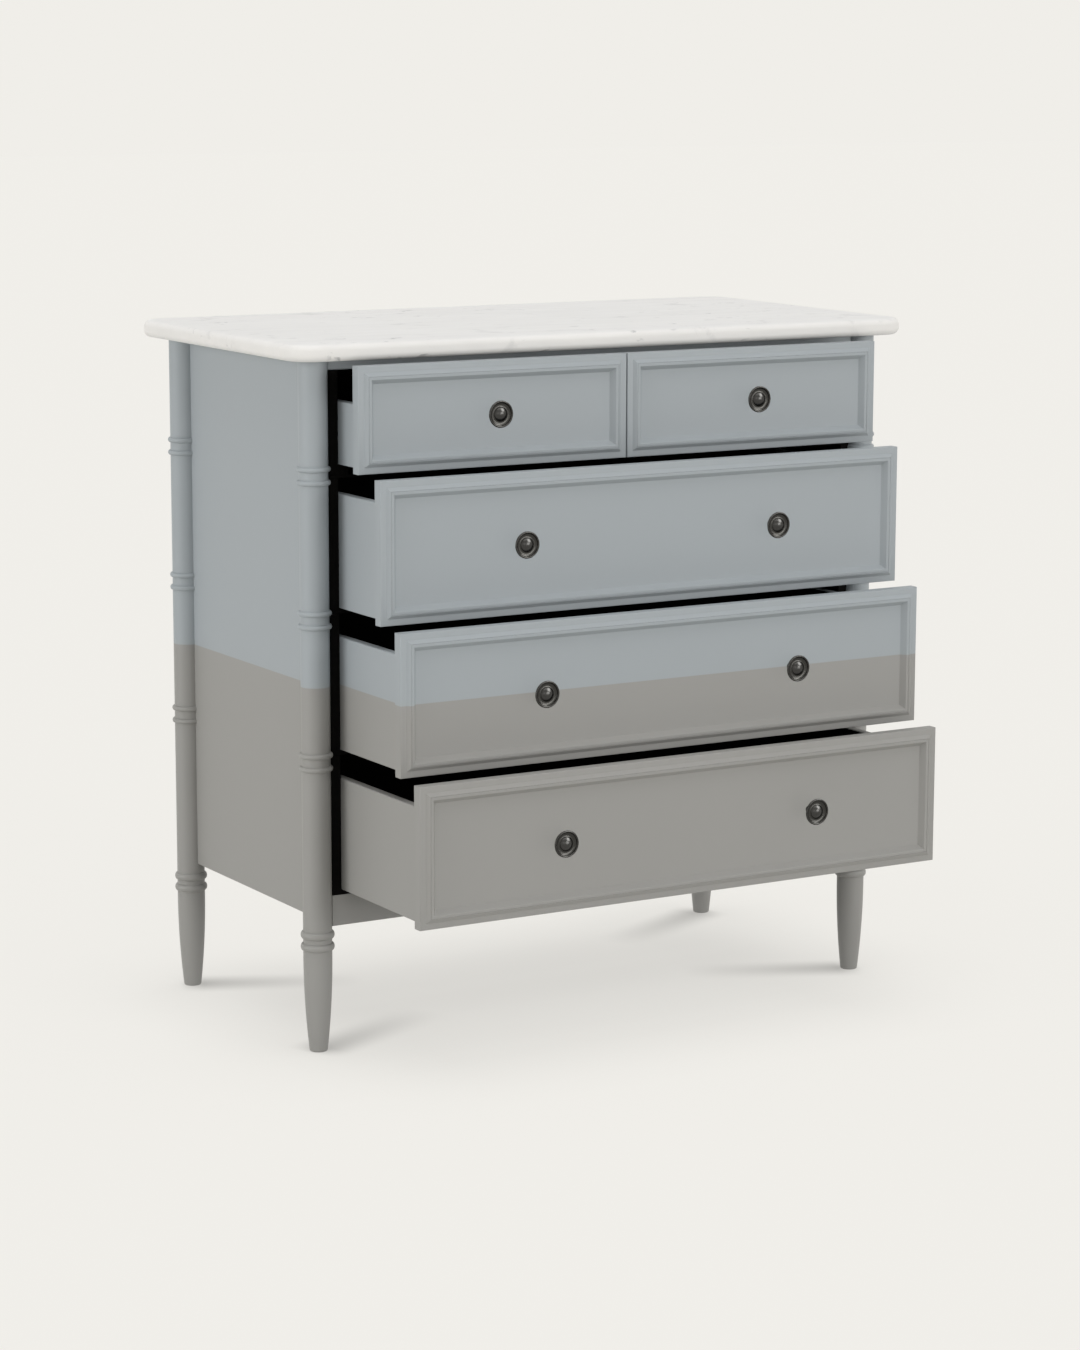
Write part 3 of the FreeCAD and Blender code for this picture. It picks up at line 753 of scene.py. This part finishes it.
def knob_profile():
    """(radius, distance from the front): base, waisted neck, flare, thin lip, wide cove and low dome."""
    waist = (KNOB_BASE_RADIUS - KNOB_NECK_RADIUS, KNOB_WAIST)
    flare = (KNOB_RADIUS - KNOB_LIP - KNOB_NECK_RADIUS, KNOB_FLARE_DEPTH)
    lip_radius, lip_height = KNOB_RADIUS - KNOB_LIP, KNOB_PROJECTION - KNOB_LIP_DROP
    cove_floor = KNOB_PROJECTION - KNOB_COVE_DEPTH
    cove = (lip_radius - KNOB_LIP - KNOB_COVE_RADIUS, lip_height - cove_floor)
    rise = (KNOB_COVE_RADIUS - KNOB_DOME_RADIUS, KNOB_COVE_DEPTH - KNOB_DOME_HEIGHT)
    dome = (KNOB_DOME_RADIUS ** 2 + KNOB_DOME_HEIGHT ** 2) / (2 * KNOB_DOME_HEIGHT)
    dome_start = math.degrees(math.acos(KNOB_DOME_RADIUS / dome))
    profile = [(0.0, 0.0), (KNOB_BASE_RADIUS, 0.0), (KNOB_BASE_RADIUS, KNOB_BASE_HEIGHT)]
    profile += arc((KNOB_BASE_RADIUS, KNOB_BASE_HEIGHT + KNOB_WAIST), waist, 270, 180, steps=6)
    profile += arc((lip_radius, lip_height - KNOB_LIP - KNOB_FLARE_DEPTH), flare, 180, 90, steps=12)
    profile += arc((lip_radius, lip_height), (KNOB_LIP, KNOB_LIP), -90, 150, steps=12)
    profile += arc((KNOB_COVE_RADIUS, lip_height), cove, 0, -90, steps=12)
    profile += arc((KNOB_COVE_RADIUS, cove_floor + rise[1]), rise, -90, -150, steps=5)
    profile += arc((0.0, KNOB_PROJECTION - dome), (dome, dome), dome_start, 90, steps=14)
    return profile


def paint_knob_sheen(shape):
    """Mark where a knob gets the painted sheen of lighter metal: its dome most, then the outer lip of its
    rim.
    """
    layer = shape.verts.layers.float.new("painted_sheen")
    for vert in shape.verts:
        radius = math.hypot(vert.co.x, vert.co.z)
        proud = -vert.co.y > KNOB_PROJECTION - KNOB_DOME_HEIGHT
        if proud and radius < KNOB_DOME_RADIUS:
            vert[layer] = 1.0
        elif radius > KNOB_LIP_RADIUS:
            vert[layer] = KNOB_LIP_SHEEN


def screw_profile():
    """(radius, distance from the front's back): a domed pan head."""
    shoulder = arc((SCREW_RADIUS - SCREW_ROUND, SCREW_RIM), (SCREW_ROUND, SCREW_HEIGHT - SCREW_RIM), 0, 90,
                   steps=6)
    return [(0.0, 0.0), (SCREW_RADIUS, 0.0), *shoulder, (0.0, SCREW_HEIGHT)]


KNOBS = bpy.data.collections.new("knobs")


def drawer_knobs(name, node, row, start, count):
    """Knobs on the front, which throw no shade on it."""
    shape = bmesh.new()
    lathe(shape, knob_profile(), TURNED_STEPS, lambda x, y, z: Vector((x, -z, y)))
    paint_knob_sheen(shape)
    knobs = make_object(f"{name}_turned_knobs", mesh_from(node, shape))
    grow(knobs, row, Count=count, Start=start, Material=BRONZE_FINISH)
    show(knobs, [node])
    KNOBS.objects.link(knobs)
    knobs.visible_shadow = False
    knobs.visible_diffuse = False


def knob_screws(name, node, row, start, count):
    """The heads of the screws that hold the knobs, behind the front."""
    shape = bmesh.new()
    lathe(shape, screw_profile(), SCREW_STEPS, lambda x, y, z: Vector((x, z, y)))
    screws = make_object(f"{name}_knob_screws", mesh_from("screw", shape))
    grow(screws, row, Count=count, Start=start, Material=ZINC_FINISH)
    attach(screws, frame["nodes"][node]["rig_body"])


def drawer_hardware(name, node, count, row):
    """Knobs and screws in line with the knobs of the frame."""
    low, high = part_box(node)
    first, height = low.x + KNOB_RADIUS, (low.z + high.z) / 2
    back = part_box(f"{name}_front")[1].y
    panel = back - FRONT_THICKNESS + PANEL_RECESS
    drawer_knobs(name, node, row, Vector((first, panel, height)), count)
    knob_screws(name, node, row, Vector((first, back, height)), count)


def all_drawers():
    """Fronts, boxes and hardware of the five drawers."""
    row = row_tree()
    for name in ("small_left", "small_right", "upper", "middle", "lower"):
        drawer = f"drawer_{name}"
        drawer_front(drawer)
        drawer_box(drawer)
        if name.startswith("small"):
            drawer_hardware(drawer, f"{drawer}_knob", 1, row)
        else:
            drawer_hardware(drawer, f"{drawer}_knobs", 2, row)


# Floor, sky, lamps and camera.

AMBIENT = 0.45
KNOB_LAMP = "knob softbox"
SUNS = {
    # name: (strength, degrees right of straight ahead, degrees up, softness in degrees, casts shadows)
    "left softbox": (1.7, -91, 4, 34, True),
    "camera fill": (0.16, -20, 8, 30, False),
    "front softbox": (1.5, 26, 3, 36, True),
    "overhead softbox": (1.05, 0, 80, 60, True),
    # lights the knobs alone
    KNOB_LAMP: (2.2, 55, 36, 36, False),
}
FLOOR_REACH = 30
FLOOR_WHITE = 0.72
FLOOR_SHADOW_SHARE = 0.12
# the floor's painted shade, in metres and shares of the light: under the chest, and in from each foot
CONTACT_REACH, CONTACT_DEPTH, CONTACT_SAMPLES = 0.23, 0.38, 12
STREAK_LENGTH, STREAK_WIDTH, STREAK_DEPTH = 0.23, 0.05, 0.38
STREAK_START = 0.016


def floor_light():
    """How much light a level white floor sends back under the sky and the lamps."""
    lamps = sum(strength * math.sin(math.radians(up)) / math.pi
                for name, (strength, _, up, _, _) in SUNS.items() if name != KNOB_LAMP)
    return AMBIENT + lamps


def seen_by_eye(tree):
    """One for what the camera sees straight, in a gloss or through glass, zero for light on things."""
    path = tree.nodes.new("ShaderNodeLightPath")
    seen = math_node(tree, "MAXIMUM", path.outputs["Is Camera Ray"], path.outputs["Is Glossy Ray"])
    return math_node(tree, "MAXIMUM", seen, path.outputs["Is Transmission Ray"])


def painted_leg_shadow(tree, coordinates):
    """A painted shadow streak, one on the floor at a foot, fading inwards; the four feet are mirrored onto
    one.
    """
    corners = [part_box(f"post_{place}") for place in ("front_left", "back_right")]
    feet = [(low + high) / 2 for low, high in corners]
    middle = (feet[0] + feet[1]) / 2
    foot = Vector((feet[1].x - middle.x, feet[1].y - middle.y, 0))
    inwards = -foot.normalized()
    sideways = Vector((-inwards.y, inwards.x, 0))
    spot = vector_node(tree, "SUBTRACT", coordinates, middle).outputs["Vector"]
    spot = vector_node(tree, "ABSOLUTE", spot).outputs["Vector"]
    spot = vector_node(tree, "SUBTRACT", spot, foot).outputs["Vector"]
    along = vector_node(tree, "DOT_PRODUCT", spot, inwards).outputs["Value"]
    across = vector_node(tree, "DOT_PRODUCT", spot, sideways).outputs["Value"]
    across = math_node(tree, "ABSOLUTE", across)
    streak = ramp_node(tree, along, high=STREAK_LENGTH, out_low=1.0, out_high=0.0)
    streak = math_node(tree, "MULTIPLY", streak, ramp_node(tree, along, -STREAK_START, STREAK_START))
    width = ramp_node(tree, across, high=STREAK_WIDTH, out_low=1.0, out_high=0.0)
    width.node.interpolation_type = "SMOOTHSTEP"
    return math_node(tree, "MULTIPLY", streak, width)


def floor_shade(tree, coordinates):
    """The share of the floor's glow left under its painted shade: less under the chest, least on the inner
    side of each leg.
    """
    contact = tree.nodes.new("ShaderNodeAmbientOcclusion")
    contact.samples = CONTACT_SAMPLES
    contact.inputs["Distance"].default_value = CONTACT_REACH
    under = ramp_node(tree, contact.outputs["AO"], out_low=1 - CONTACT_DEPTH)
    streak = ramp_node(tree, painted_leg_shadow(tree, coordinates), out_low=1.0, out_high=1 - STREAK_DEPTH)
    return math_node(tree, "MULTIPLY", under, streak)


def pale_floor():
    """A matt floor that the camera sees mostly as the backdrop's colour, shaded by the chest: a little by the
    lamps' own shadow, mostly by painted shade.
    """
    material, tree, shader, coordinates = new_material("pale floor")
    tint = [FLOOR_WHITE * part / BACKDROP[0] for part in BACKDROP[:3]]
    shader.inputs["Base Color"].default_value = [*tint, 1]
    shader.inputs["Roughness"].default_value = 1.0
    shader.inputs["Specular IOR Level"].default_value = 0.0
    lit = FLOOR_WHITE * floor_light() / BACKDROP[0]
    glow = tree.nodes.new("ShaderNodeEmission")
    rest = (1 - FLOOR_SHADOW_SHARE * lit) / (1 - FLOOR_SHADOW_SHARE)
    glow.inputs["Color"].default_value = [rest * part for part in BACKDROP[:3]] + [1]
    tree.links.new(floor_shade(tree, coordinates), glow.inputs["Strength"])
    share = math_node(tree, "MULTIPLY", seen_by_eye(tree), 1 - FLOOR_SHADOW_SHARE)
    mix = tree.nodes.new("ShaderNodeMixShader")
    tree.links.new(share, mix.inputs["Fac"])
    tree.links.new(shader.outputs["BSDF"], mix.inputs[1])
    tree.links.new(glow.outputs["Emission"], mix.inputs[2])
    tree.links.new(mix.outputs["Shader"], tree.nodes["Material Output"].inputs["Surface"])
    return material


def studio_floor():
    """A wide floor that fades into the backdrop."""
    shape = bmesh.new()
    bmesh.ops.create_grid(shape, x_segments=1, y_segments=1, size=FLOOR_REACH)
    floor = make_object("floor", mesh_from("floor", shape), pale_floor())


def studio_sky():
    """The backdrop's colour for the camera, and an even soft light for everything else."""
    world = bpy.data.worlds.new("studio sky")
    bpy.context.scene.world = world
    world.use_nodes = True
    sky = world.node_tree
    sky.nodes.clear()
    colour = mix_colours(sky, seen_by_eye(sky), (AMBIENT, AMBIENT, AMBIENT, 1), BACKDROP)
    background = sky.nodes.new("ShaderNodeBackground")
    sky.links.new(colour, background.inputs["Color"])
    output = sky.nodes.new("ShaderNodeOutputWorld")
    sky.links.new(background.outputs["Background"], output.inputs["Surface"])


def studio_lamps():
    """Wide soft lamps, one of them for the knobs alone."""
    for name, (strength, right, up, soft, shadows) in SUNS.items():
        lamp = bpy.data.lights.new(name, "SUN")
        lamp.energy = strength
        lamp.angle = math.radians(soft)
        lamp.use_shadow = shadows
        holder = bpy.data.objects.new(name, lamp)
        bpy.context.scene.collection.objects.link(holder)
        turn, rise = math.radians(right), math.radians(up)
        towards = Vector((math.sin(turn) * math.cos(rise), -math.cos(turn) * math.cos(rise), math.sin(rise)))
        holder.rotation_mode = "QUATERNION"
        holder.rotation_quaternion = towards.to_track_quat("Z", "Y")
        if name == KNOB_LAMP:
            holder.light_linking.receiver_collection = KNOBS


# The photograph's camera, fitted to the chest: place in metres, angles in degrees, the rest in its pixels.
CAMERA_PLACE = (-2.39714, -4.03193, 1.26522)
CAMERA_HEADING = 31.002
CAMERA_TILT = -10.444
CAMERA_ROLL = 0.229
PHOTO_WIDTH, PHOTO_HEIGHT = 1080, 1350
FOCAL_PIXELS = 3620.63
AXIS_PIXEL = (577.404, 696.967)
SENSOR_WIDTH = 36.0


def camera():
    """The camera at the photograph's place, with the small shift that its framing needs."""
    heading, tilt = math.radians(CAMERA_HEADING), math.radians(CAMERA_TILT)
    ahead = Vector((math.sin(heading) * math.cos(tilt), math.cos(heading) * math.cos(tilt), math.sin(tilt)))
    right = Vector((math.cos(heading), -math.sin(heading), 0))
    roll = Matrix.Rotation(-math.radians(CAMERA_ROLL), 3, ahead)
    right = roll @ right
    up = right.cross(ahead)
    data = bpy.data.cameras.new("camera")
    data.sensor_fit = "HORIZONTAL"
    data.sensor_width = SENSOR_WIDTH
    data.lens = SENSOR_WIDTH * FOCAL_PIXELS / PHOTO_WIDTH
    data.shift_x = (PHOTO_WIDTH / 2 - AXIS_PIXEL[0]) / PHOTO_WIDTH
    data.shift_y = (AXIS_PIXEL[1] - PHOTO_HEIGHT / 2) / PHOTO_WIDTH
    holder = bpy.data.objects.new("camera", data)
    bpy.context.scene.collection.objects.link(holder)
    axes = Matrix((right, up, -ahead)).transposed().to_4x4()
    holder.matrix_world = Matrix.Translation(CAMERA_PLACE) @ axes
    bpy.context.scene.camera = holder


stone_top()
turned_posts()
carcass_boards()
all_drawers()
studio_floor()
studio_sky()
studio_lamps()
camera()
bpy.context.scene.view_settings.view_transform = "Standard"
